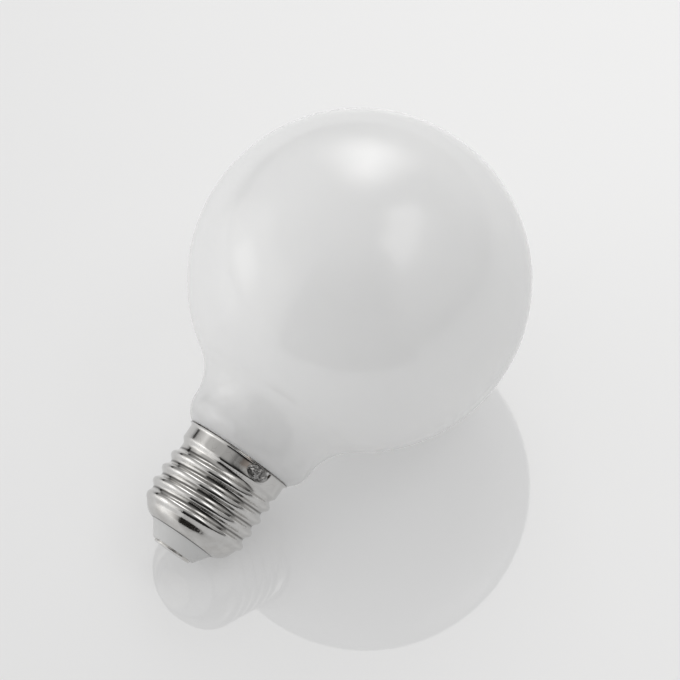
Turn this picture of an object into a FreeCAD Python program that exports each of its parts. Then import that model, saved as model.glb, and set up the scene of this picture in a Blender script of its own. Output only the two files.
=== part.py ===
import FreeCAD, Part
import math
import os

# An opal glass globe bulb with a rolled screw cap, in millimetres.
# The axis is Z. The origin is the middle of the end contact's face, and the globe is on top.

# Glass, with the neck's length from the rim to the lowest point of the full sphere
globe_diameter = 80.0
neck_length = 9.0
neck_diameter = 32.3
neck_blend_radius = 12.0
shoulder_radius = 6.5
neck_depth = 17.0
neck_end_round = 2.0

# Pressed metal shell
cap_length = 27.5
sheet = 0.3
band_diameter = 25.8
rim_overhang = 0.6
rim_flare_radius = 0.7
band_height = 3.8
band_step_height = 1.5
thread_diameter = 26.2
thread_depth = 1.1
thread_pitch = 3.629
first_crest_gap = 2.9
last_crest_gap = 0.7
thread_start_runout = 0.5
thread_end_runout = 1.0
dome_radius = 5.0
hole_diameter = 16.2

# Insulator
insulator_length = 4.2
insulator_end_diameter = 10.9
flange_diameter = 19.0
flange_thickness = 1.5

# End contact
contact_diameter = 9.6
contact_thickness = 0.6
contact_edge_round = 0.25
pin_diameter = 2.4
pin_tail = 0.5

# Solder joint on the band
solder_width = 5.0
solder_height = 3.7
solder_thickness = 0.6
solder_edge = 0.15
solder_azimuth = -63.0

# Clearances
glass_clearance = 0.15
neck_clearance = 0.4
insulator_clearance = 0.05
pin_clearance = 0.05
solder_clearance = 0.02

# Fineness of the rolled wall's surface
sections_around = 24
rows_per_pitch = 12
rows_per_bend = 6

AXIS = FreeCAD.Vector(0, 0, 1)
ORIGIN = FreeCAD.Vector(0, 0, 0)
FULL_TURN = 360.0

globe_radius = globe_diameter / 2
globe_z = cap_length + neck_length + globe_radius
overall_length = globe_z + globe_radius
band_radius = band_diameter / 2
rim_radius = band_radius + rim_overhang
root_radius = thread_diameter / 2 - thread_depth
hole_radius = hole_diameter / 2

# The rim flares outwards round a circle that lies outside the band
flare_r = band_radius + rim_flare_radius
flare_angle = math.acos((flare_r - rim_radius) / rim_flare_radius)
flare_z = cap_length - (rim_flare_radius + sheet) * math.sin(flare_angle)

# The shell closes in a quarter round, which the hole for the insulator cuts short
dome_r = root_radius - dome_radius
dome_angle = math.acos((hole_radius - dome_r) / dome_radius)
dome_z = insulator_length + dome_radius * math.sin(dome_angle)

band_end_z = cap_length - band_height
step_end_z = band_end_z - band_step_height
first_crest_z = band_end_z - first_crest_gap
full_turns = (first_crest_z - dome_z - last_crest_gap) / thread_pitch


def point(r, z):
    """A point of a half section, which lies in the XZ plane."""
    return FreeCAD.Vector(r, 0, z)


def line(start, end):
    return Part.LineSegment(point(*start), point(*end)).toShape()


def on_circle(centre, radius, angle):
    return (centre[0] + radius * math.cos(angle), centre[1] + radius * math.sin(angle))


def arc(centre, radius, start_angle, end_angle):
    angles = (start_angle, (start_angle + end_angle) / 2, end_angle)
    return Part.Arc(*[point(*on_circle(centre, radius, angle)) for angle in angles]).toShape()


def direction(start, end):
    return math.atan2(end[1] - start[1], end[0] - start[0])


def turned(edges):
    """The solid that a closed half section makes in a full turn about the axis."""
    return Part.Face(Part.Wire(edges)).revolve(ORIGIN, AXIS, FULL_TURN)


def make_glass_globe():
    """Globe, hollow blend and round shoulder in tangent arcs, with the neck that the cap holds."""
    insert_radius = min(band_radius, root_radius) - sheet - neck_clearance
    lip_r = flare_r - (rim_flare_radius + sheet) * math.cos(flare_angle)
    globe_centre = (0, globe_z)

    # The shoulder stands clear of the rim's inner edge
    shoulder_r = neck_diameter / 2 - shoulder_radius
    rise = math.sqrt((shoulder_radius + glass_clearance) ** 2 - (lip_r - shoulder_r) ** 2)
    shoulder_centre = (shoulder_r, cap_length + rise)

    # The blend's centre is found from its distances to the globe and the shoulder
    to_globe = globe_radius + neck_blend_radius
    to_shoulder = shoulder_radius + neck_blend_radius
    apart = math.dist(globe_centre, shoulder_centre)
    along = (to_globe ** 2 - to_shoulder ** 2 + apart ** 2) / (2 * apart)
    lean = direction(globe_centre, shoulder_centre) + math.acos(along / to_globe)
    blend_centre = on_circle(globe_centre, to_globe, lean)

    shoulder_end = -math.acos((insert_radius - shoulder_r) / shoulder_radius)
    insert_top = on_circle(shoulder_centre, shoulder_radius, shoulder_end)
    neck_end_z = cap_length - neck_depth
    round_centre = (insert_radius - neck_end_round, neck_end_z + neck_end_round)
    crown = (0, overall_length)
    return turned([
        arc(globe_centre, globe_radius, math.pi / 2, lean),
        arc(blend_centre, neck_blend_radius, lean + math.pi, direction(blend_centre, shoulder_centre)),
        arc(shoulder_centre, shoulder_radius, direction(shoulder_centre, blend_centre), shoulder_end),
        line(insert_top, (insert_radius, round_centre[1])),
        arc(round_centre, neck_end_round, 0, -math.pi / 2),
        line((round_centre[0], neck_end_z), (0, neck_end_z)),
        line((0, neck_end_z), crown),
    ])


def ease(share):
    """A smooth rise from 0 to 1, flat at both ends."""
    share = min(max(share, 0.0), 1.0)
    return (1 - math.cos(math.pi * share)) / 2


def thread_ridge(angle, z):
    """Height of the right-handed round thread over its root at one place on the shell."""
    quarter = thread_pitch / 4
    round_radius = (quarter ** 2 + (thread_depth / 2) ** 2) / thread_depth
    height = 0.0
    turn = -angle / (2 * math.pi)
    while turn < full_turns + thread_end_runout:
        offset = abs(z - first_crest_z + thread_pitch * turn)
        if offset < 2 * quarter:
            crest = offset < quarter
            reach = offset if crest else 2 * quarter - offset
            sag = round_radius - math.sqrt(round_radius ** 2 - reach ** 2)
            start = ease((turn + thread_start_runout) / thread_start_runout)
            end = ease((full_turns + thread_end_runout - turn) / thread_end_runout)
            height += start * end * (thread_depth - sag if crest else sag)
        turn += 1
    # The ridge dies out where the band begins and towards the hole
    below_band = ease((band_end_z - z) / band_step_height)
    above_hole = ease((z - insulator_length) / (dome_z - insulator_length))
    return height * below_band * above_hole


def plain_wall():
    """Outer line of the shell before the thread is rolled, from rim to hole: r, z and normal."""
    rows = []
    for step in range(rows_per_bend):
        angle = flare_angle * (1 - step / rows_per_bend)
        r, z = on_circle((flare_r, flare_z), rim_flare_radius, math.pi - angle)
        rows.append((r, z, math.cos(angle), -math.sin(angle)))
    for step in range(rows_per_bend):
        z = flare_z + (band_end_z - flare_z) * step / rows_per_bend
        rows.append((band_radius, z, 1.0, 0.0))
    for step in range(rows_per_bend):
        share = step / rows_per_bend
        r = band_radius + (root_radius - band_radius) * ease(share)
        rows.append((r, band_end_z - band_step_height * share, 1.0, 0.0))
    root_rows = round((step_end_z - dome_z) / thread_pitch * rows_per_pitch)
    for step in range(root_rows):
        rows.append((root_radius, step_end_z + (dome_z - step_end_z) * step / root_rows, 1.0, 0.0))
    dome_rows = 2 * rows_per_bend
    for step in range(dome_rows + 1):
        angle = -dome_angle * step / dome_rows
        r, z = on_circle((dome_r, dome_z), dome_radius, angle)
        rows.append((r, z, math.cos(angle), math.sin(angle)))
    return rows


def wall_sections(rows, angle):
    """Outer and inner line of the shell's sheet at one angle, both from rim to hole."""
    outside = []
    for r, z, normal_r, normal_z in rows:
        height = thread_ridge(angle, z)
        outside.append((r + height * normal_r, z + height * normal_z))
    inside = []
    last = len(outside) - 1
    for row, (r, z) in enumerate(outside):
        above = outside[max(row - 1, 0)]
        below = outside[min(row + 1, last)]
        length = math.dist(above, below)
        normal_r = (above[1] - below[1]) / length
        normal_z = (below[0] - above[0]) / length
        inside.append((r - sheet * normal_r, z - sheet * normal_z))
    return outside, inside


def wall_surface(sections):
    """A smooth closed wall through sections at even steps round the axis."""
    degree = 3
    turn_step = 2 * math.pi / len(sections)
    # A cubic surface runs inside its poles, so the poles lie a little further out
    spread = 3 / (2 + math.cos(turn_step))
    poles = []
    for column, section in enumerate(sections):
        across = spread * math.cos(column * turn_step)
        deep = spread * math.sin(column * turn_step)
        poles.append([FreeCAD.Vector(r * across, r * deep, z) for r, z in section])
    around_knots = list(range(len(poles) + 1))
    around_counts = [1] * len(around_knots)
    down_knots = list(range(len(poles[0]) - degree + 1))
    down_counts = [degree + 1] + [1] * (len(down_knots) - 2) + [degree + 1]
    surface = Part.BSplineSurface()
    surface.buildFromPolesMultsKnots(
        poles, around_counts, down_counts, around_knots, down_knots, True, False, degree, degree)
    return surface


def make_screw_shell():
    """One pressed sheet: flared rim, plain band, rolled thread and closing round."""
    rows = plain_wall()
    turn_step = 2 * math.pi / sections_around
    pairs = [wall_sections(rows, column * turn_step) for column in range(sections_around)]
    outer = wall_surface([outside for outside, inside in pairs])
    inner = wall_surface([inside for outside, inside in pairs])
    faces = [outer.toShape(), inner.toShape()]
    for end in outer.bounds()[2:]:
        faces.append(Part.makeRuledSurface(outer.vIso(end).toShape(), inner.vIso(end).toShape()))
    shell = Part.Shell(faces)
    shell.sewShape()
    solid = Part.Solid(shell)
    if solid.Volume < 0:
        solid.reverse()
    return solid


def make_insulator():
    """Cone between shell and contact, held by a flange inside the shell."""
    hole_lip = hole_radius - sheet * math.cos(dome_angle)
    collar_radius = hole_lip - insulator_clearance
    flange_radius = flange_diameter / 2
    inner_dome = dome_radius - sheet
    seat_z = dome_z - math.sqrt(inner_dome ** 2 - (flange_radius - dome_r) ** 2) + insulator_clearance
    top_z = seat_z + flange_thickness
    bore = pin_diameter / 2 + pin_clearance
    outline = [
        (bore, contact_thickness),
        (insulator_end_diameter / 2, contact_thickness),
        (collar_radius, insulator_length),
        (collar_radius, seat_z),
        (flange_radius, seat_z),
        (flange_radius, top_z),
        (bore, top_z),
    ]
    edges = [line(start, end) for start, end in zip(outline, outline[1:] + outline[:1])]
    return turned(edges), top_z


def make_centre_contact(insulator_top):
    """Round head with a soft edge, and the pin that goes through the insulator."""
    head_radius = contact_diameter / 2
    pin_radius = pin_diameter / 2
    face_radius = head_radius - contact_edge_round
    pin_end = insulator_top + pin_tail
    return turned([
        line((0, 0), (face_radius, 0)),
        arc((face_radius, contact_edge_round), contact_edge_round, -math.pi / 2, 0),
        line((head_radius, contact_edge_round), (head_radius, contact_thickness)),
        line((head_radius, contact_thickness), (pin_radius, contact_thickness)),
        line((pin_radius, contact_thickness), (pin_radius, pin_end)),
        line((pin_radius, pin_end), (0, pin_end)),
        line((0, pin_end), (0, 0)),
    ])


def make_side_solder():
    """Flat drop of solder over the flared rim and the band, round at its lower end."""
    seat_radius = band_radius + solder_clearance
    hollow = rim_flare_radius - solder_clearance
    bottom_z = cap_length - solder_height
    flare_centre = (flare_r, flare_z)
    top_inner = on_circle(flare_centre, hollow, math.pi - flare_angle)
    top_outer = (top_inner[0] + solder_thickness, top_inner[1])
    bottom_outer = (seat_radius + solder_edge, bottom_z)
    belly = (seat_radius + solder_thickness + solder_edge, (bottom_z + top_inner[1]) / 2)
    section = Part.Face(Part.Wire([
        arc(flare_centre, hollow, math.pi - flare_angle, math.pi),
        line((seat_radius, flare_z), (seat_radius, bottom_z)),
        line((seat_radius, bottom_z), bottom_outer),
        Part.Arc(point(*bottom_outer), point(*belly), point(*top_outer)).toShape(),
        line(top_outer, top_inner),
    ]))
    ring = section.revolve(ORIGIN, AXIS, FULL_TURN)

    # The drop's outline, seen from outside, is a straight band that ends in a half round
    half = solder_width / 2
    reach = rim_radius + solder_thickness + solder_width
    outward = FreeCAD.Vector(1, 0, 0)
    round_z = bottom_z + half
    lower = Part.makeCylinder(half, reach, FreeCAD.Vector(0, 0, round_z), outward)
    upper = Part.makeBox(reach, solder_width, cap_length - round_z, FreeCAD.Vector(0, -half, round_z))
    drop = ring.common(lower.fuse(upper))
    drop.rotate(ORIGIN, AXIS, solder_azimuth)
    return drop.Solids[0]


insulator, insulator_top = make_insulator()
pieces = {
    "glass_globe": make_glass_globe(),
    "screw_shell": make_screw_shell(),
    "insulator": insulator,
    "centre_contact": make_centre_contact(insulator_top),
    "side_solder": make_side_solder(),
}

os.makedirs("parts", exist_ok=True)
for name, shape in pieces.items():
    shape.exportStep(f"parts/{name}.step")
    box = shape.BoundBox
    print(f"{name}: valid {shape.isValid()}, volume {shape.Volume:.1f} mm3,"
          f" z {box.ZMin:.2f} to {box.ZMax:.2f}, width {box.XLength:.2f} by {box.YLength:.2f}")
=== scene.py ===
# %% [markdown]
# # A globe bulb on a glossy table
#
# The bulb is an opal glass sphere, blown in one piece with a short neck and held in a pressed
# screw cap. Its solids come from the CAD model, in metres, with the bulb's axis along Z and the
# end contact's face at the origin. They stay where they are. This lesson gives each of them its
# finish, turns the glass again in finer steps, remodels the solder joint with a freer hand, and
# sets up the table, the studio and the camera.

# %% Load the frame
import math

import bmesh
import bpy
from mathutils import Matrix, Vector, noise


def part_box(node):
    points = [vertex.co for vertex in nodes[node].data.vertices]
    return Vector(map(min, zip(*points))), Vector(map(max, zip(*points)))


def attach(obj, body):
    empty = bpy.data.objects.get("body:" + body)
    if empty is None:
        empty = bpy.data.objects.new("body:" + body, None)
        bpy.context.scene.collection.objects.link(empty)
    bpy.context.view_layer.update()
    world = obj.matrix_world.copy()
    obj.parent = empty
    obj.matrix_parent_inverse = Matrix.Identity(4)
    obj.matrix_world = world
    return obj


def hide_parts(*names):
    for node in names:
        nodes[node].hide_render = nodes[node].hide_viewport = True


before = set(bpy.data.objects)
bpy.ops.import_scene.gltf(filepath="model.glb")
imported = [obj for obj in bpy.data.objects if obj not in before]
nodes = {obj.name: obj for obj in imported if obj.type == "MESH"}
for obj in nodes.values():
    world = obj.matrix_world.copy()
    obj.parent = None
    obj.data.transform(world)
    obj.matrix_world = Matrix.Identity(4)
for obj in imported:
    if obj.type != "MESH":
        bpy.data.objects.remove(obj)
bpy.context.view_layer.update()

for name in sorted(nodes):
    low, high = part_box(name)
    print(f"{name}: {len(nodes[name].data.polygons)} faces, z {low.z:.4f} to {high.z:.4f} m")

# %% [markdown]
# ## What the photo tells
#
# In the photo the bulb lies on its side, with its axis leaning to the right and the cap's end
# turned a little towards the viewer. The bulb keeps its own upright frame here, so the camera
# leans instead. The photo's own directions, right, up and towards the viewer, are worked out
# first, in the bulb's frame.

# %% Photo
photo_pixels = 680
globe_spot, globe_spot_radius = (359.8, 280.4), 172.7
mirror_spot, mirror_spot_radius = (365.8, 486.3), 164.4
axis_lean = math.radians(34.8)
cap_turn = math.radians(5.1)

low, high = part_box("glass_globe")
globe_radius = (high.y - low.y) / 2
globe_centre = Vector((0, 0, high.z - globe_radius))

toward_camera = Vector((0, -math.cos(cap_turn), -math.sin(cap_turn)))
level = Vector((1, 0, 0))
upright = toward_camera.cross(level)
photo_right = level * math.cos(axis_lean) + upright * math.sin(axis_lean)
photo_up = upright * math.cos(axis_lean) - level * math.sin(axis_lean)
print(f"photo: the axis leans {math.degrees(axis_lean):.1f} degrees to the right")

# %% [markdown]
# ## The camera
#
# The camera could be turned by hand until the picture looks right, but what can be measured in
# the photo fixes it at once. The mirror image in the table is a second globe of the same size,
# further away. How much smaller it looks gives the camera's distance, and where it lies gives
# the table's slant.

# %% Camera
def from_middle(spot, pixel_size):
    """How far to the right of the photo's middle a spot lies, and how far above it."""
    return Vector((spot[0] - photo_pixels / 2, photo_pixels / 2 - spot[1])) * pixel_size


def in_photo(right, up, toward=0.0):
    """A direction, or a step, from its parts along the photo's axes."""
    return photo_right * right + photo_up * up + toward_camera * toward


def placed(place, right, up, toward):
    """A matrix that puts an object at a place, with its X, Y and Z along three directions."""
    turn = Matrix((right, up, toward)).transposed()
    return Matrix.Translation(place) @ turn.to_4x4()


pixel = globe_radius / globe_spot_radius
mirror_pixel = globe_radius / mirror_spot_radius
offset = from_middle(globe_spot, pixel)
slant_right, slant_up = (offset - from_middle(mirror_spot, mirror_pixel)) / (2 * globe_radius)
slant_toward = math.sqrt(1 - slant_right ** 2 - slant_up ** 2)
camera_distance = 2 * globe_radius * slant_toward / (mirror_pixel / pixel - 1)

camera_data = bpy.data.cameras.new("photo_camera")
camera_data.sensor_width = 36.0
camera_data.lens = camera_data.sensor_width * camera_distance / (photo_pixels * pixel)
camera = bpy.data.objects.new("photo_camera", camera_data)
bpy.context.scene.collection.objects.link(camera)
camera.matrix_world = placed(
    globe_centre - in_photo(*offset) + toward_camera * camera_distance,
    photo_right, photo_up, toward_camera)
bpy.context.scene.camera = camera
bpy.context.scene.view_settings.view_transform = "Standard"
print(f"camera: {camera_data.lens:.0f} mm lens at {camera_distance:.2f} m,"
      f" {1000 * pixel:.3f} mm to a pixel at the globe")

# %% [markdown]
# ## The table
#
# The bulb lies on a white gloss sheet that shows its mirror image. In the bulb's own frame this
# table is a slanted plane under the globe, and the cap's thread all but touches it. A thickness
# would never show, so a plain panel is enough for it.

# %% Table
table_size = 4.0
table_up = in_photo(slant_right, slant_up, slant_toward)
table_away = table_up.cross(photo_right).normalized()
table_right = table_away.cross(table_up)
table_place = placed(globe_centre - table_up * globe_radius, table_right, table_away, table_up)
to_table = table_place.inverted()


def new_object(name, builder, place=None):
    """A mesh object from a finished bmesh, at the origin or, for the stage, at a place."""
    mesh = bpy.data.meshes.new(name)
    builder.to_mesh(mesh)
    builder.free()
    made = bpy.data.objects.new(name, mesh)
    bpy.context.scene.collection.objects.link(made)
    if place is not None:
        made.matrix_world = place
    return made


builder = bmesh.new()
bmesh.ops.create_grid(builder, x_segments=1, y_segments=1, size=table_size / 2)
table = new_object("table", builder, table_place)
lowest = min((to_table @ vertex.co).z for vertex in nodes["screw_shell"].data.vertices)
print(f"table: the cap's lowest point is {1000 * lowest:.2f} mm above it")

# %% [markdown]
# The gloss comes from the shader's own reflection, so it grows towards grazing views as on a real
# sheet. The sheet is also given a painted glow, an emission of its own, which lights the shadows
# under the bulb. From below the table is left clear, so that a view from there still shows the
# bulb.

# %% Gloss sheet
def add_node(tree, kind, inputs=None, **settings):
    """A shader node with its settings. Each input gets a value, or a link from a socket."""
    node = tree.nodes.new("ShaderNode" + kind)
    for setting, value in settings.items():
        setattr(node, setting, value)
    for socket, value in (inputs or {}).items():
        if isinstance(value, bpy.types.NodeSocket):
            tree.links.new(value, node.inputs[socket])
        else:
            node.inputs[socket].default_value = value
    return node


def new_material(name):
    """A material with an empty node tree."""
    material = bpy.data.materials.new(name)
    material.use_nodes = True
    material.node_tree.nodes.clear()
    return material, material.node_tree


material, tree = new_material("gloss_table")
# The emission is a painted glow that keeps the shadows under the bulb light.
sheet = add_node(tree, "BsdfPrincipled", {
    "Base Color": (0.56, 0.56, 0.56, 1), "Roughness": 0.02, "IOR": 1.6,
    "Emission Color": (1, 1, 1, 1), "Emission Strength": 0.26})
clear = add_node(tree, "BsdfTransparent")
side = add_node(tree, "NewGeometry")
surface = add_node(tree, "MixShader", {
    "Fac": side.outputs["Backfacing"], 1: sheet.outputs["BSDF"], 2: clear.outputs["BSDF"]})
add_node(tree, "OutputMaterial", {"Surface": surface.outputs["Shader"]})
table.data.materials.append(material)
print("gloss_table: white from above, clear from below")

# %% [markdown]
# ## The lamps
#
# Opal glass shows each lamp as a soft spot, halfway between the lamp and the viewer. So the
# spots in the photo say where the lamps stood: a broad softbox behind and above, a low one to
# the left, and a small one overhead to the right. A white card close by, low on the left, lifts
# the neck's shaded side. They are area lights, each set by its brightness and not by its power,
# so that a larger lamp doesn't change how bright it looks. An area light has hard edges, which
# gloss would show, so these lamps only light the matt surfaces. What gloss shows comes further
# below.

# %% Lamps
def lamp_place(spot, distance):
    """Where a lamp stands that the globe mirrors at this spot of the photo, facing the globe."""
    right = (spot[0] - globe_spot[0]) / globe_spot_radius
    up = (globe_spot[1] - spot[1]) / globe_spot_radius
    facing = math.sqrt(1 - right ** 2 - up ** 2)
    direction = 2 * facing * in_photo(right, up, facing) - toward_camera
    sideways = table_up.cross(direction).normalized()
    return placed(
        globe_centre + direction * distance, sideways, direction.cross(sideways), direction)


def new_lamp(name, spot, distance, width, height, brightness):
    """A rectangular softbox. Its power follows from its size and brightness."""
    softbox = bpy.data.lights.new(name, "AREA")
    softbox.shape = "RECTANGLE"
    softbox.size, softbox.size_y = width, height
    softbox.energy = math.pi * width * height * brightness
    lamp = bpy.data.objects.new(name, softbox)
    lamp.matrix_world = lamp_place(spot, distance)
    lamp.visible_camera = False
    lamp.visible_glossy = False
    bpy.context.scene.collection.objects.link(lamp)
    print(f"{name}: {softbox.energy:.2f} W")


new_lamp("back_softbox", (367, 160), 1.0, 0.60, 0.50, 1.8)
new_lamp("left_softbox", (250, 262), 1.0, 0.70, 0.40, 1.5)
new_lamp("left_card", (256, 308), 0.30, 0.20, 0.08, 1.3)
new_lamp("right_softbox", (403, 232), 1.0, 0.40, 0.30, 1.35)

# %% [markdown]
# ## The room
#
# Around the table stands a pale room. The camera, the gloss and anything clear see its walls as
# they are. What falls on the matt surfaces is a share of that, because the lamps give them the
# rest. The light path tells the two apart.

# %% World
wall_grey = 0.83
matt_share = 0.90

world = bpy.data.worlds.new("pale_room")
bpy.context.scene.world = world
world.use_nodes = True
world.node_tree.nodes.clear()
tree = world.node_tree
path = add_node(tree, "LightPath")
seen = path.outputs["Is Camera Ray"]
for kind in ("Is Glossy Ray", "Is Transmission Ray"):
    seen = add_node(tree, "Math", {0: seen, 1: path.outputs[kind]}, operation="MAXIMUM").outputs[0]
strength = add_node(tree, "MapRange", {
    "Value": seen, "To Min": wall_grey * matt_share, "To Max": wall_grey})
room = add_node(tree, "Background", {"Strength": strength.outputs["Result"]})
add_node(tree, "OutputWorld", {"Surface": room.outputs["Background"]})
print(f"room: {wall_grey} as seen, {wall_grey * matt_share:.2f} as light")

# %% [markdown]
# ## The studio that the gloss shows
#
# Bright plating has hardly any look of its own. What shows on the cap is the studio round it,
# squeezed into streaks, and a plain pale room would leave it flat and white. So a dome that only
# mirroring rays can see stands over the table. It is half a sphere, cut at the table's plane. Its
# shader knows each place by a bearing and a height. Both are in degrees, and bearings count from
# the camera's side to its right.

# %% Studio dome
dome_radius = 3.0

builder = bmesh.new()
bmesh.ops.create_uvsphere(builder, u_segments=64, v_segments=32, radius=dome_radius)
bmesh.ops.bisect_plane(
    builder, geom=builder.verts[:] + builder.edges[:] + builder.faces[:],
    plane_co=(0, 0, 0), plane_no=(0, 0, 1), clear_inner=True)
dome = new_object("studio_dome", builder, table_place)
dome.visible_camera = False
dome.visible_diffuse = False
dome.visible_shadow = False

material, tree = new_material("studio_dome")
material.cycles.emission_sampling = "NONE"
dome.data.materials.append(material)
spot = add_node(tree, "SeparateXYZ", {0: add_node(tree, "TexCoord").outputs["Object"]})


def math_node(operation, *values):
    """A Math node's result. Each value is a number or a socket."""
    return add_node(tree, "Math", dict(enumerate(values)), operation=operation).outputs[0]


near = math_node("MULTIPLY", spot.outputs["Y"], -1.0)
bearing = math_node("DEGREES", math_node("ARCTAN2", spot.outputs["X"], near))
height = math_node("DEGREES", math_node(
    "ARCSINE", math_node("DIVIDE", spot.outputs["Z"], dome_radius)))
print(f"studio_dome: {len(dome.data.polygons)} faces, seen by mirroring rays alone")

# %% [markdown]
# ## Painting the studio
#
# Each streak on the cap and each spot on the globe tells where something stood: the softboxes,
# the dim walls, and the dark space on the camera's side. Each thing is a patch with soft edges,
# painted over the ones before it. The walls come first, darker near the table. Then come the
# brighter right and left sides with their softboxes, the softbox behind, and last the dark
# patches. A photograph of a studio would do the same, but numbers are easier to shift.

# %% Painted studio
dim_wall = [(0, 0.20), (35, 0.48), (90, 0.46)]


def within(value, span, edge):
    """A mask that is 1 between two values and fades over an edge at both. Angles may wrap round."""
    start, end = span
    offset = math_node("WRAP", math_node("SUBTRACT", value, (start + end) / 2), 180.0, -180.0)
    half = (end - start) / 2
    return add_node(tree, "MapRange", {
        "Value": math_node("ABSOLUTE", offset), "From Min": half - edge / 2,
        "From Max": half + edge / 2, "To Min": 1.0, "To Max": 0.0},
        interpolation_type="SMOOTHSTEP").outputs["Result"]


def paint(below, bearings, heights, edges, tone):
    """Paint a patch of one tone over what is there already."""
    mask = math_node(
        "MULTIPLY", within(bearing, bearings, edges[0]), within(height, heights, edges[1]))
    return add_node(tree, "Mix", {"Factor": mask, "A": below, "B": tone}).outputs["Result"]


walls = add_node(tree, "FloatCurve", {"Value": math_node("DIVIDE", height, 90.0)})
curve = walls.mapping.curves[0]
curve.points.new(dim_wall[1][0] / 90, dim_wall[1][1])
for point, (degrees, tone) in zip(curve.points, dim_wall):
    point.location = (degrees / 90, tone)
walls.mapping.update()

studio = walls.outputs["Value"]
studio = paint(studio, (116, 178), (-30, 26), (30, 20), 0.68)
studio = paint(studio, (-128, -50), (-30, 54), (12, 16), 0.62)
studio = paint(studio, (-118, -60), (-10, 36), (18, 12), 1.1)
studio = paint(studio, (-104, -80), (5, 21), (12, 9), 2.0)
studio = paint(studio, (38, 112), (38, 78), (14, 14), 0.72)
studio = paint(studio, (46, 120), (50, 71), (18, 11), 1.8)
studio = paint(studio, (157, 189), (26, 60), (40, 26), 3.3)
studio = paint(studio, (-152, -129), (-30, 8), (5, 4), 0.05)
studio = paint(studio, (-48, 12), (-90, 54), (4, 44), 0.02)
studio = paint(studio, (-2, 28), (-90, 54), (24, 44), 0.02)
studio = paint(studio, (30, 70), (-90, 13), (26, 22), 0.10)
glow = add_node(tree, "Emission", {"Color": (1.0, 0.99, 0.975, 1), "Strength": studio})
add_node(tree, "OutputMaterial", {"Surface": glow.outputs["Emission"]})
print(f"painted studio: {sum(node.type == 'MIX' for node in tree.nodes)} patches")

# %% [markdown]
# ## The dark screen
#
# The cap's round end shows a dark patch where a far wall would be hidden by the table's horizon.
# So something dark stood near it, on the camera's side. A low upright panel stands in for it: an
# edge on the table, drawn upwards. Like the dome, only mirroring rays see it. It fades out at its
# ends and its top, so that gloss shows no hard edge there.

# %% Dark screen
screen_distance = 0.25
screen_height = 0.10
screen_bearings = (-48, 42)
screen_fade = 0.03

low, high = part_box("screw_shell")
foot = to_table @ ((low + high) / 2)
start, end = [foot.x + screen_distance * math.tan(math.radians(angle)) for angle in screen_bearings]
builder = bmesh.new()
lower = builder.edges.new([
    builder.verts.new((across, foot.y - screen_distance, 0)) for across in (start, end)])
raised = bmesh.ops.extrude_edge_only(builder, edges=[lower])["geom"]
bmesh.ops.translate(
    builder, vec=(0, 0, screen_height),
    verts=[element for element in raised if isinstance(element, bmesh.types.BMVert)])
screen = new_object("dark_screen", builder, table_place)
screen.visible_camera = False
screen.visible_diffuse = False
screen.visible_shadow = False
material, tree = new_material("dark_screen")
material.cycles.emission_sampling = "NONE"
parts = add_node(tree, "SeparateXYZ", {0: add_node(tree, "TexCoord").outputs["Object"]}).outputs
solid = math_node(
    "MULTIPLY", within(parts["X"], (start, end), screen_fade),
    within(parts["Z"], (-screen_height, screen_height - screen_fade / 2), screen_fade))
clear = add_node(tree, "BsdfTransparent")
glow = add_node(tree, "Emission", {"Color": (0.022, 0.020, 0.018, 1)})
surface = add_node(tree, "MixShader", {
    "Fac": solid, 1: clear.outputs["BSDF"], 2: glow.outputs["Emission"]})
add_node(tree, "OutputMaterial", {"Surface": surface.outputs["Shader"]})
screen.data.materials.append(material)
print(f"dark_screen: {end - start:.2f} m wide")

# %% [markdown]
# ## Effects that several finishes share
#
# No real surface is one flat colour. Three effects come back on this bulb: a soft mottling, fine
# lines that run round the axis where a piece was rolled or turned, and scuffs. Each is a node
# group, built once. A material places it with its own scale, and decides itself what the mask
# does to colour, gloss or relief. The mottling is plain noise with its middle tones spread.

# %% Soft mottling
def new_group(name, inputs, outputs):
    """A shader node group with these sockets. The numbers are the inputs' defaults."""
    tree = bpy.data.node_groups.new(name, "ShaderNodeTree")
    tree.interface.new_socket("Vector", in_out="INPUT", socket_type="NodeSocketVector")
    for socket, value in inputs.items():
        made = tree.interface.new_socket(socket, in_out="INPUT", socket_type="NodeSocketFloat")
        made.default_value = value
    for socket in outputs:
        tree.interface.new_socket(socket, in_out="OUTPUT", socket_type="NodeSocketFloat")
    return tree, tree.nodes.new("NodeGroupInput").outputs, tree.nodes.new("NodeGroupOutput").inputs


soft_mottle, given, put_out = new_group("soft_mottle", {"Scale": 100.0, "Contrast": 0.5}, ["Mask"])
cloud = add_node(soft_mottle, "TexNoise", {
    "Vector": given["Vector"], "Scale": given["Scale"], "Detail": 5.0, "Roughness": 0.6})
reach = add_node(soft_mottle, "Math", {0: 0.5, 1: given["Contrast"]}, operation="SUBTRACT")
low_end = add_node(soft_mottle, "Math", {0: reach.outputs["Value"], 1: 0.0}, operation="MAXIMUM")
high_end = add_node(soft_mottle, "Math", {0: 1.0, 1: low_end.outputs["Value"]}, operation="SUBTRACT")
mask = add_node(soft_mottle, "MapRange", {
    "Value": cloud.outputs["Fac"], "From Min": low_end.outputs["Value"],
    "From Max": high_end.outputs["Value"]}, interpolation_type="SMOOTHSTEP")
soft_mottle.links.new(mask.outputs["Result"], put_out["Mask"])
print("soft_mottle: larger contrast numbers are softer")

# %% [markdown]
# Rolling and turning leave fine lines round the axis. Noise that is stretched gives them: it
# changes quickly along the profile, which is the height plus the distance from the axis, and
# slowly round the axis. The distance from the axis is put out as well, because it tells a
# thread's crests from its roots.

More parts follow.
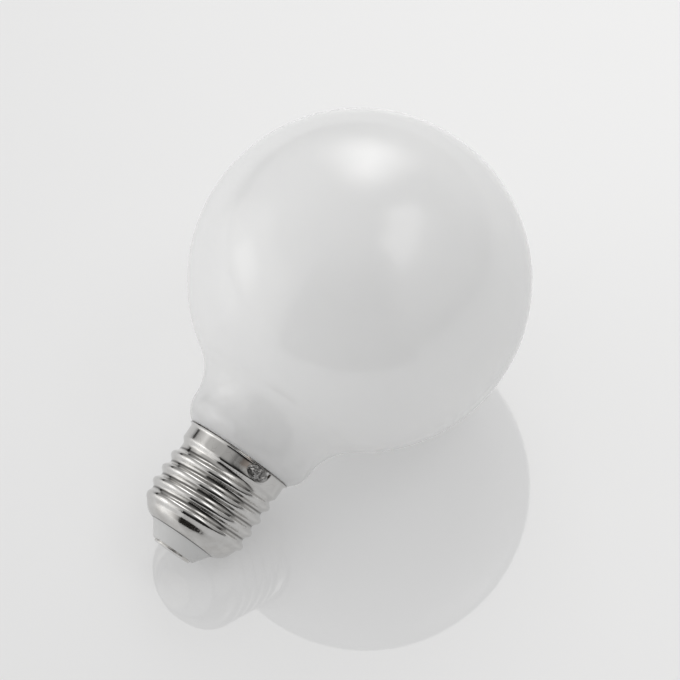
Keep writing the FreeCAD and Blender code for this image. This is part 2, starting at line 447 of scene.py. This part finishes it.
# %% Turning lines
turning_lines, given, put_out = new_group(
    "turning_lines", {"Lines": 9000.0, "Waver": 60.0}, ["Radius", "Mask"])
parts = add_node(turning_lines, "SeparateXYZ", {"Vector": given["Vector"]})
flat = add_node(turning_lines, "CombineXYZ", {"X": parts.outputs["X"], "Y": parts.outputs["Y"]})
radius = add_node(turning_lines, "VectorMath", {0: flat.outputs["Vector"]}, operation="LENGTH")
profile = add_node(turning_lines, "Math", {
    0: radius.outputs["Value"], 1: parts.outputs["Z"]}, operation="ADD")
across = add_node(turning_lines, "Math", {
    0: profile.outputs["Value"], 1: given["Lines"]}, operation="MULTIPLY")
around = add_node(turning_lines, "VectorMath", {
    0: flat.outputs["Vector"], "Scale": given["Waver"]}, operation="SCALE")
stretch = add_node(turning_lines, "CombineXYZ", {"Z": across.outputs["Value"]})
where = add_node(turning_lines, "VectorMath", {
    0: around.outputs["Vector"], 1: stretch.outputs["Vector"]}, operation="ADD")
streaks = add_node(turning_lines, "TexNoise", {
    "Vector": where.outputs["Vector"], "Scale": 1.0, "Detail": 3.0, "Roughness": 0.7})
turning_lines.links.new(radius.outputs["Value"], put_out["Radius"])
turning_lines.links.new(streaks.outputs["Fac"], put_out["Mask"])
print("turning_lines: lines to a metre along the profile, and how fast they change round the axis")

# %% [markdown]
# Scratches could be drawn one by one. The borders between stretched cells are quicker: they are
# thin and straight and cross at odd angles. The mottling hides most of them, so that they break
# off as real scratches do.

# %% Scuffs
fine_scuffs, given, put_out = new_group("fine_scuffs", {"Scale": 300.0, "Width": 0.02}, ["Mask"])
cells = add_node(fine_scuffs, "Mapping", {
    "Vector": given["Vector"], "Rotation": (0.5, 0.9, 0.4), "Scale": (1.0, 0.25, 0.6)})
edges = add_node(fine_scuffs, "TexVoronoi", {
    "Vector": cells.outputs["Vector"], "Scale": given["Scale"]}, feature="DISTANCE_TO_EDGE")
line = add_node(fine_scuffs, "MapRange", {
    "Value": edges.outputs["Distance"], "From Max": given["Width"], "To Min": 1.0, "To Max": 0.0})
patches = add_node(fine_scuffs, "Group", {
    "Vector": given["Vector"], "Scale": given["Scale"], "Contrast": 0.08}, node_tree=soft_mottle)
worn = add_node(fine_scuffs, "Math", {
    0: line.outputs["Result"], 1: patches.outputs["Mask"]}, operation="MULTIPLY")
fine_scuffs.links.new(worn.outputs["Value"], put_out["Mask"])
print("fine_scuffs: thin broken scratches")

# %% [markdown]
# ## The blown globe
#
# The globe was blown in one piece with its throat and neck. The CAD mesh has this shape, but on
# a glossy ball even small facets show as broken glints along its edge. So the glass is turned
# again here in finer steps. Its outline is three arcs that touch each other: the globe, the
# hollow throat and the round shoulder over the rim. Where the throat's centre lies follows from
# its distance to the other two. A vertex that is spun about a centre draws an arc, and the
# finished outline is spun about the bulb's axis.

# %% Blown globe
throat_radius = 0.012
shoulder_radius = 0.0065
shoulder_centre = Vector((0.00965, 0.03295))
neck_radius = 0.0113
neck_end_round = 0.002
globe_steps, throat_steps, shoulder_steps, end_steps = 150, 40, 30, 6
steps_around = 360

low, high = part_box("glass_globe")
ball_radius = min(high.x, high.y, -low.x, -low.y)
globe_middle = Vector((0.0, high.z - ball_radius))


def bearing_of(step):
    """The angle of a step in the outline's plane, from the radius towards the axis."""
    return math.atan2(step.y, step.x)


def draw_arc(builder, tip, centre, turn, steps):
    """Spin the outline's last vertex about a centre, clockwise, and give the new last vertex."""
    made = bmesh.ops.spin(
        builder, geom=[tip], cent=(centre.x, 0, centre.y), axis=(0, 1, 0), angle=turn, steps=steps)
    return made["geom_last"][0]


def draw_line(builder, tip, radius, z):
    """Carry the outline straight on, and give the new last vertex."""
    end = builder.verts.new((radius, 0, z))
    builder.edges.new((tip, end))
    return end


to_globe = ball_radius + throat_radius
to_shoulder = shoulder_radius + throat_radius
apart = (shoulder_centre - globe_middle).length
along = (to_globe ** 2 - to_shoulder ** 2 + apart ** 2) / (2 * apart)
lean = bearing_of(shoulder_centre - globe_middle) + math.acos(along / to_globe)
throat_centre = globe_middle + to_globe * Vector((math.cos(lean), math.sin(lean)))
to_neck = -math.acos((neck_radius - shoulder_centre.x) / shoulder_radius)

builder = bmesh.new()
tip = builder.verts.new((0, 0, high.z))
tip = draw_arc(builder, tip, globe_middle, math.pi / 2 - lean, globe_steps)
inward = bearing_of(shoulder_centre - throat_centre)
tip = draw_arc(builder, tip, throat_centre, lean + math.pi - inward, throat_steps)
outward = bearing_of(throat_centre - shoulder_centre)
tip = draw_arc(builder, tip, shoulder_centre, outward - to_neck, shoulder_steps)
tip = draw_line(builder, tip, neck_radius, low.z + neck_end_round)
round_centre = Vector((neck_radius - neck_end_round, low.z + neck_end_round))
tip = draw_arc(builder, tip, round_centre, math.pi / 2, end_steps)
draw_line(builder, tip, 0, low.z)
bmesh.ops.spin(
    builder, geom=builder.verts[:] + builder.edges[:], cent=(0, 0, 0), axis=(0, 0, 1),
    angle=math.tau, steps=steps_around, use_merge=True)
bmesh.ops.remove_doubles(builder, verts=builder.verts, dist=1e-7)
bmesh.ops.recalc_face_normals(builder, faces=builder.faces)
for face in builder.faces:
    face.smooth = True
glass = new_object("blown_globe", builder)
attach(glass, "root")
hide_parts("glass_globe")
print(f"blown_globe: {len(glass.data.polygons)} faces, throat turns at"
      f" {1000 * throat_centre.y:.1f} mm")

# %% [markdown]
# ## Opal glass
#
# The globe is milk glass with a smooth skin. Light goes in at the top, scatters inside and comes
# out below, so its shaded side is nearly as bright as its lit side. A matt white would look like
# plaster. Subsurface scattering with a reach of one and a half times the globe's radius gives
# the glow, and the skin's low roughness keeps the lamps' spots. Blown glass is never quite even,
# so a faint clouding and a gentle waviness go over it.

# %% Opal glass
def tint(tree, mask, colour, other):
    """A colour that goes over to another one where the mask is 1."""
    mix = add_node(tree, "Mix", {"Factor": mask, "A": (*colour, 1), "B": (*other, 1)}, data_type="RGBA")
    return mix.outputs["Result"]


def graded(tree, mask, start, end):
    """A number that runs from start to end as the mask runs from 0 to 1."""
    return add_node(tree, "MapRange", {
        "Value": mask, "To Min": start, "To Max": end}).outputs["Result"]


def finish_surface(tree, skin, height, strength, depth):
    """Relief from a height, and the link to the material's output."""
    relief = add_node(tree, "Bump", {"Height": height, "Strength": strength, "Distance": depth})
    tree.links.new(relief.outputs["Normal"], skin.inputs["Normal"])
    add_node(tree, "OutputMaterial", {"Surface": skin.outputs["BSDF"]})


subsurface_reach = 1.5 * globe_radius
material, tree = new_material("opal_glass")
place = add_node(tree, "TexCoord").outputs["Object"]
clouding = add_node(tree, "Group", {
    "Vector": place, "Scale": 45.0, "Contrast": 0.35}, node_tree=soft_mottle).outputs["Mask"]
smudges = add_node(tree, "Group", {
    "Vector": place, "Scale": 160.0, "Contrast": 0.2}, node_tree=soft_mottle).outputs["Mask"]
waves = add_node(tree, "TexNoise", {"Vector": place, "Scale": 55.0, "Detail": 2.0})
skin = add_node(tree, "BsdfPrincipled", {
    "Base Color": tint(tree, clouding, (0.840, 0.840, 0.836), (0.825, 0.826, 0.824)),
    "Roughness": graded(tree, smudges, 0.09, 0.13),
    "IOR": 1.65, "Subsurface Weight": 1.0, "Subsurface Radius": (1.0, 1.0, 1.0),
    "Subsurface Scale": subsurface_reach})
finish_surface(tree, skin, waves.outputs["Fac"], 0.1, 0.0002)
glass.data.materials.append(material)
print(f"opal_glass: light goes {1000 * subsurface_reach:.0f} mm before it scatters")

# %% [markdown]
# ## The plated shell
#
# The shell was drawn from thin sheet, rolled to its thread and nickel plated. Where it was
# soldered, the heat has browned the plating. At the joint's end a dark spot is painted as the
# shadow in the gap between the drop and the band. Both are masks round a spot on the band. Their
# borders are ragged, because noise is added to the distance from the spot.

# %% Stain and painted shadow by the joint
band_radius = 0.0129
drop_shift = math.radians(1)
heat_reach, heat_turn, heat_below_top = 0.0016, -17, 0.0012
# Where the painted shadow of the gap at the joint's end sits, and how far it reaches.
gap_shadow_reach, gap_shadow_turn, gap_shadow_below_top = 0.0005, 13.5, 0.0008
gap_shadow_stretch = 2.2

low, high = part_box("side_solder")
drop_middle = (low + high) / 2
drop_bearing = math.atan2(drop_middle.y, drop_middle.x) + drop_shift


def on_band(turn, z):
    """A spot on the band, some degrees round from the solder drop's middle."""
    bearing = drop_bearing + math.radians(turn)
    return Vector((band_radius * math.cos(bearing), band_radius * math.sin(bearing), z))


def near_spot(tree, place, spot, reach, stretch):
    """A mask that is 1 at a spot and fades out unevenly, stretched along the axis."""
    squeeze = Vector((1, 1, 1 / stretch))
    squeezed = add_node(tree, "VectorMath", {0: place, 1: squeeze}, operation="MULTIPLY")
    distance = add_node(tree, "VectorMath", {
        0: squeezed.outputs["Vector"], 1: spot * squeeze}, operation="DISTANCE")
    ragged = add_node(tree, "TexNoise", {"Vector": place, "Scale": 1200.0, "Detail": 2.0})
    edge = add_node(tree, "Math", {0: ragged.outputs["Fac"], 1: reach}, operation="MULTIPLY")
    blurred = add_node(tree, "Math", {
        0: distance.outputs["Value"], 1: edge.outputs["Value"]}, operation="ADD")
    return add_node(tree, "MapRange", {
        "Value": blurred.outputs["Value"], "From Min": reach, "From Max": 1.5 * reach,
        "To Min": 1.0, "To Max": 0.0}).outputs["Result"]


material, tree = new_material("nickel_plating")
place = add_node(tree, "TexCoord").outputs["Object"]
heat = near_spot(tree, place, on_band(heat_turn, high.z - heat_below_top), heat_reach, 1.0)
# A painted shadow: the dark gap between the drop's end and the band.
painted_gap_shadow = near_spot(
    tree, place, on_band(gap_shadow_turn, high.z - gap_shadow_below_top), gap_shadow_reach, gap_shadow_stretch)
print(f"stains: heat within {1000 * heat_reach:.1f} mm, flux within {1000 * gap_shadow_reach:.1f} mm")

# %% [markdown]
# The thread's roots are darkened as painted shade, standing in for the shade that falls in them. A
# root is a helix, so a place's height and its angle round the axis together tell how far from it the
# place is. Dark lines of painted shade also run along the rim's top edge and round the insulator.

# %% Roots and edges
first_crest, pitch = 0.0208, 0.003629
thread_span = (0.0095, 0.0217)
thread_end_fade = 0.0003
root_shade_width = 0.0004
rim_edge = (0.02718, 0.02732)
hole_edge = (0.00428, 0.00445)


def distance_from(tree, value, middle):
    """How far a value is from a number, on either side."""
    offset = add_node(tree, "Math", {0: value, 1: middle}, operation="SUBTRACT")
    return add_node(tree, "Math", {0: offset.outputs["Value"]}, operation="ABSOLUTE").outputs["Value"]


def fade_out(tree, value, start, end):
    """A mask that falls from 1 to 0 between two values."""
    return add_node(tree, "MapRange", {
        "Value": value, "From Min": start, "From Max": end, "To Min": 1.0, "To Max": 0.0}
        ).outputs["Result"]


parts = add_node(tree, "SeparateXYZ", {"Vector": place}).outputs
angle = add_node(tree, "Math", {0: parts["Y"], 1: parts["X"]}, operation="ARCTAN2")
climb = add_node(tree, "Math", {
    0: angle.outputs["Value"], 1: pitch / math.tau}, operation="MULTIPLY")
level = add_node(tree, "Math", {
    0: parts["Z"], 1: climb.outputs["Value"]}, operation="SUBTRACT")
to_crest = add_node(tree, "Math", {
    0: level.outputs["Value"], 1: first_crest, 2: first_crest + pitch}, operation="WRAP")
off_root = distance_from(tree, to_crest.outputs["Value"], first_crest + pitch / 2)
off_thread = distance_from(tree, parts["Z"], sum(thread_span) / 2)
thread_reach = (thread_span[1] - thread_span[0]) / 2
# Painted shade: a thin band along each root of the helix is darkened.
painted_root_shade = add_node(tree, "Math", {
    0: fade_out(tree, off_root, 0.0, root_shade_width),
    1: fade_out(tree, off_thread, thread_reach - thread_end_fade, thread_reach)},
    operation="MULTIPLY").outputs["Value"]
# Painted shade: the roots, the rim's top edge and the gap round the insulator are darkened together.
painted_shade_lines = painted_root_shade
for edge in (fade_out(tree, parts["Z"], *reversed(rim_edge)), fade_out(tree, parts["Z"], *hole_edge)):
    painted_shade_lines = add_node(tree, "Math", {0: painted_shade_lines, 1: edge}, operation="MAXIMUM").outputs["Value"]
print(f"roots: dark within {1000 * root_shade_width:.1f} mm, {1000 * pitch:.2f} mm apart")

# %% [markdown]
# The rolls leave fine lines round the shell, and handling leaves scuffs. A slight haze stays where
# the shell is narrow. The painted shade lines, the heat stain and the painted gap shadow go over
# the plating one after the other.

# %% Nickel plating
crest_radius, root_radius = 0.0131, 0.0120

rolling = add_node(tree, "Group", {
    "Vector": place, "Lines": 7000.0, "Waver": 90.0}, node_tree=turning_lines)
haze = add_node(tree, "Group", {
    "Vector": place, "Scale": 260.0, "Contrast": 0.2}, node_tree=soft_mottle).outputs["Mask"]
scuffs = add_node(tree, "Group", {
    "Vector": place, "Scale": 500.0, "Width": 0.03}, node_tree=fine_scuffs).outputs["Mask"]
in_root = fade_out(tree, rolling.outputs["Radius"], root_radius, crest_radius)
dull = add_node(tree, "Math", {0: haze, 1: in_root}, operation="MULTIPLY").outputs["Value"]
dull = add_node(tree, "Math", {0: dull, 1: scuffs}, operation="MAXIMUM").outputs["Value"]
plating = tint(tree, dull, (0.67, 0.664, 0.653), (0.57, 0.558, 0.540))
# Where the painted shade lines lie, the plating turns almost black.
shade = add_node(tree, "Mix", {
    "Factor": painted_shade_lines, "A": plating, "B": (0.12, 0.116, 0.11, 1)}, data_type="RGBA")
browned = add_node(tree, "Mix", {
    "Factor": heat, "A": shade.outputs["Result"], "B": (0.50, 0.44, 0.40, 1)}, data_type="RGBA")
# Painted shadow: the plating turns almost black in the gap at the joint's end.
with_gap_shadow = add_node(tree, "Mix", {
    "Factor": painted_gap_shadow, "A": browned.outputs["Result"], "B": (0.03, 0.025, 0.02, 1)}, data_type="RGBA")
dull = add_node(tree, "Math", {0: dull, 1: painted_gap_shadow}, operation="MAXIMUM").outputs["Value"]
skin = add_node(tree, "BsdfPrincipled", {
    "Base Color": with_gap_shadow.outputs["Result"],
    "Metallic": 1.0, "Roughness": graded(tree, dull, 0.05, 0.16)})
finish_surface(tree, skin, rolling.outputs["Mask"], 0.12, 0.00003)
nodes["screw_shell"].material_slots[0].material = material
print(f"nickel_plating: roots at {1000 * root_radius:.1f} mm, crests at {1000 * crest_radius:.1f} mm")

# %% [markdown]
# ## The insulator
#
# The cone between shell and contact is pressed from a pale ceramic powder. It is matt, with a
# fine grain, darker specks and faint rings from its mould.

# %% Insulator
grain_scale = 6000.0
material, tree = new_material("pressed_insulator")
place = add_node(tree, "TexCoord").outputs["Object"]
rings = add_node(tree, "Group", {
    "Vector": place, "Lines": 2500.0, "Waver": 120.0}, node_tree=turning_lines).outputs["Mask"]
blotches = add_node(tree, "Group", {
    "Vector": place, "Scale": 500.0, "Contrast": 0.2}, node_tree=soft_mottle).outputs["Mask"]
grain = add_node(tree, "TexNoise", {"Vector": place, "Scale": grain_scale, "Detail": 3.0})
specks = add_node(tree, "MapRange", {
    "Value": grain.outputs["Fac"], "From Min": 0.64, "From Max": 0.72}).outputs["Result"]
stain = add_node(tree, "Math", {0: specks, 1: blotches}, operation="MULTIPLY").outputs["Value"]
skin = add_node(tree, "BsdfPrincipled", {
    "Base Color": tint(tree, stain, (0.65, 0.65, 0.645), (0.47, 0.46, 0.44)),
    "Roughness": graded(tree, blotches, 0.42, 0.58)})
relief = add_node(tree, "Math", {
    0: rings, 1: grain.outputs["Fac"]}, operation="ADD").outputs["Value"]
finish_surface(tree, skin, relief, 0.25, 0.00005)
nodes["insulator"].material_slots[0].material = material
print(f"pressed_insulator: grain of about {1000 / grain_scale:.2f} mm")

# %% [markdown]
# ## The end contact
#
# The contact is a turned disc, plated like the shell. The lathe left rings on its face, and the
# holder's spring scratches it.

# %% End contact
material, tree = new_material("turned_contact")
place = add_node(tree, "TexCoord").outputs["Object"]
rings = add_node(tree, "Group", {
    "Vector": place, "Lines": 6000.0, "Waver": 40.0}, node_tree=turning_lines).outputs["Mask"]
scratches = add_node(tree, "Group", {
    "Vector": place, "Scale": 700.0, "Width": 0.05}, node_tree=fine_scuffs).outputs["Mask"]
haze = add_node(tree, "Group", {
    "Vector": place, "Scale": 400.0, "Contrast": 0.15}, node_tree=soft_mottle).outputs["Mask"]
tool_marks = add_node(tree, "MapRange", {
    "Value": rings, "From Min": 0.50, "From Max": 0.68, "To Max": 0.8}).outputs["Result"]
worn = add_node(tree, "Math", {0: haze, 1: scratches}, operation="MAXIMUM").outputs["Value"]
worn = add_node(tree, "Math", {0: worn, 1: tool_marks}, operation="MAXIMUM").outputs["Value"]
skin = add_node(tree, "BsdfPrincipled", {
    "Base Color": tint(tree, worn, (0.78, 0.77, 0.755), (0.60, 0.585, 0.56)),
    "Metallic": 1.0, "Roughness": graded(tree, worn, 0.08, 0.24)})
finish_surface(tree, skin, rings, 0.3, 0.00004)
nodes["centre_contact"].material_slots[0].material = material
print("turned_contact: rings and scratches")

# %% [markdown]
# ## The solder joint
#
# The side lead is soldered to the band, and the drop set dull and lumpy. The CAD solid gives its
# place and its height, and the drop runs out a little wider. A round ball is pressed flat against
# the band here, bent round it and given lumps by noise, because a drop has no straight edge
# anywhere. Its back follows the band and the rim's flare, so nothing stands off.

# %% Solder drop
rim_z, flare_height = 0.0275, 0.00099
flare_radius = 0.0007
flare_z = rim_z - flare_height
clearance = 0.00003
drop_half_width = 0.0030
drop_thickness = 0.0008

low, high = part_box("side_solder")
drop_half_height = (high.z - low.z) / 2


def shell_radius(z):
    """The outside of the band and of the rim's flare at one height."""
    over = min(max(z - flare_z, 0.0), flare_radius)
    return band_radius + flare_radius - math.sqrt(flare_radius ** 2 - over ** 2)


builder = bmesh.new()
bmesh.ops.create_icosphere(builder, subdivisions=6, radius=1.0)
for vertex in builder.verts:
    across, out, up = vertex.co
    lump = noise.noise(Vector((across * 2.1, up * 1.9, 4.0)))
    ripple = noise.noise(Vector((across * 5.5, up * 5.0, 9.0)))
    z = drop_middle.z + up * drop_half_height
    bearing = drop_bearing + across * drop_half_width / band_radius
    swell = max(out, 0.0) ** 0.7 * drop_thickness * (0.75 + 0.5 * lump + 0.18 * ripple)
    radius = shell_radius(z) + clearance + swell
    vertex.co = (radius * math.cos(bearing), radius * math.sin(bearing), z)
bmesh.ops.remove_doubles(builder, verts=builder.verts, dist=1e-7)
bmesh.ops.recalc_face_normals(builder, faces=builder.faces)
for face in builder.faces:
    face.smooth = True
drop = new_object("solder_drop", builder)
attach(drop, "root")
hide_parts("side_solder")
print(f"solder_drop: {len(drop.data.polygons)} faces at {math.degrees(drop_bearing):.0f} degrees")

# %% [markdown]
# Solder dulls as it sets, and flux leaves a grey crust on it. So the drop is a dark metal, rougher
# and darker where the mottling lies, with a fine pitted relief.

# %% Solder finish
material, tree = new_material("dull_solder")
place = add_node(tree, "TexCoord").outputs["Object"]
crust = add_node(tree, "Group", {
    "Vector": place, "Scale": 900.0, "Contrast": 0.15}, node_tree=soft_mottle).outputs["Mask"]
pits = add_node(tree, "TexNoise", {"Vector": place, "Scale": 2600.0, "Detail": 4.0})
skin = add_node(tree, "BsdfPrincipled", {
    "Base Color": tint(tree, crust, (0.42, 0.415, 0.41), (0.25, 0.245, 0.24)),
    "Metallic": 1.0, "Roughness": graded(tree, crust, 0.22, 0.38)})
finish_surface(tree, skin, pits.outputs["Fac"], 0.2, 0.0001)
drop.data.materials.append(material)
print("dull_solder: grey crust over brighter metal")
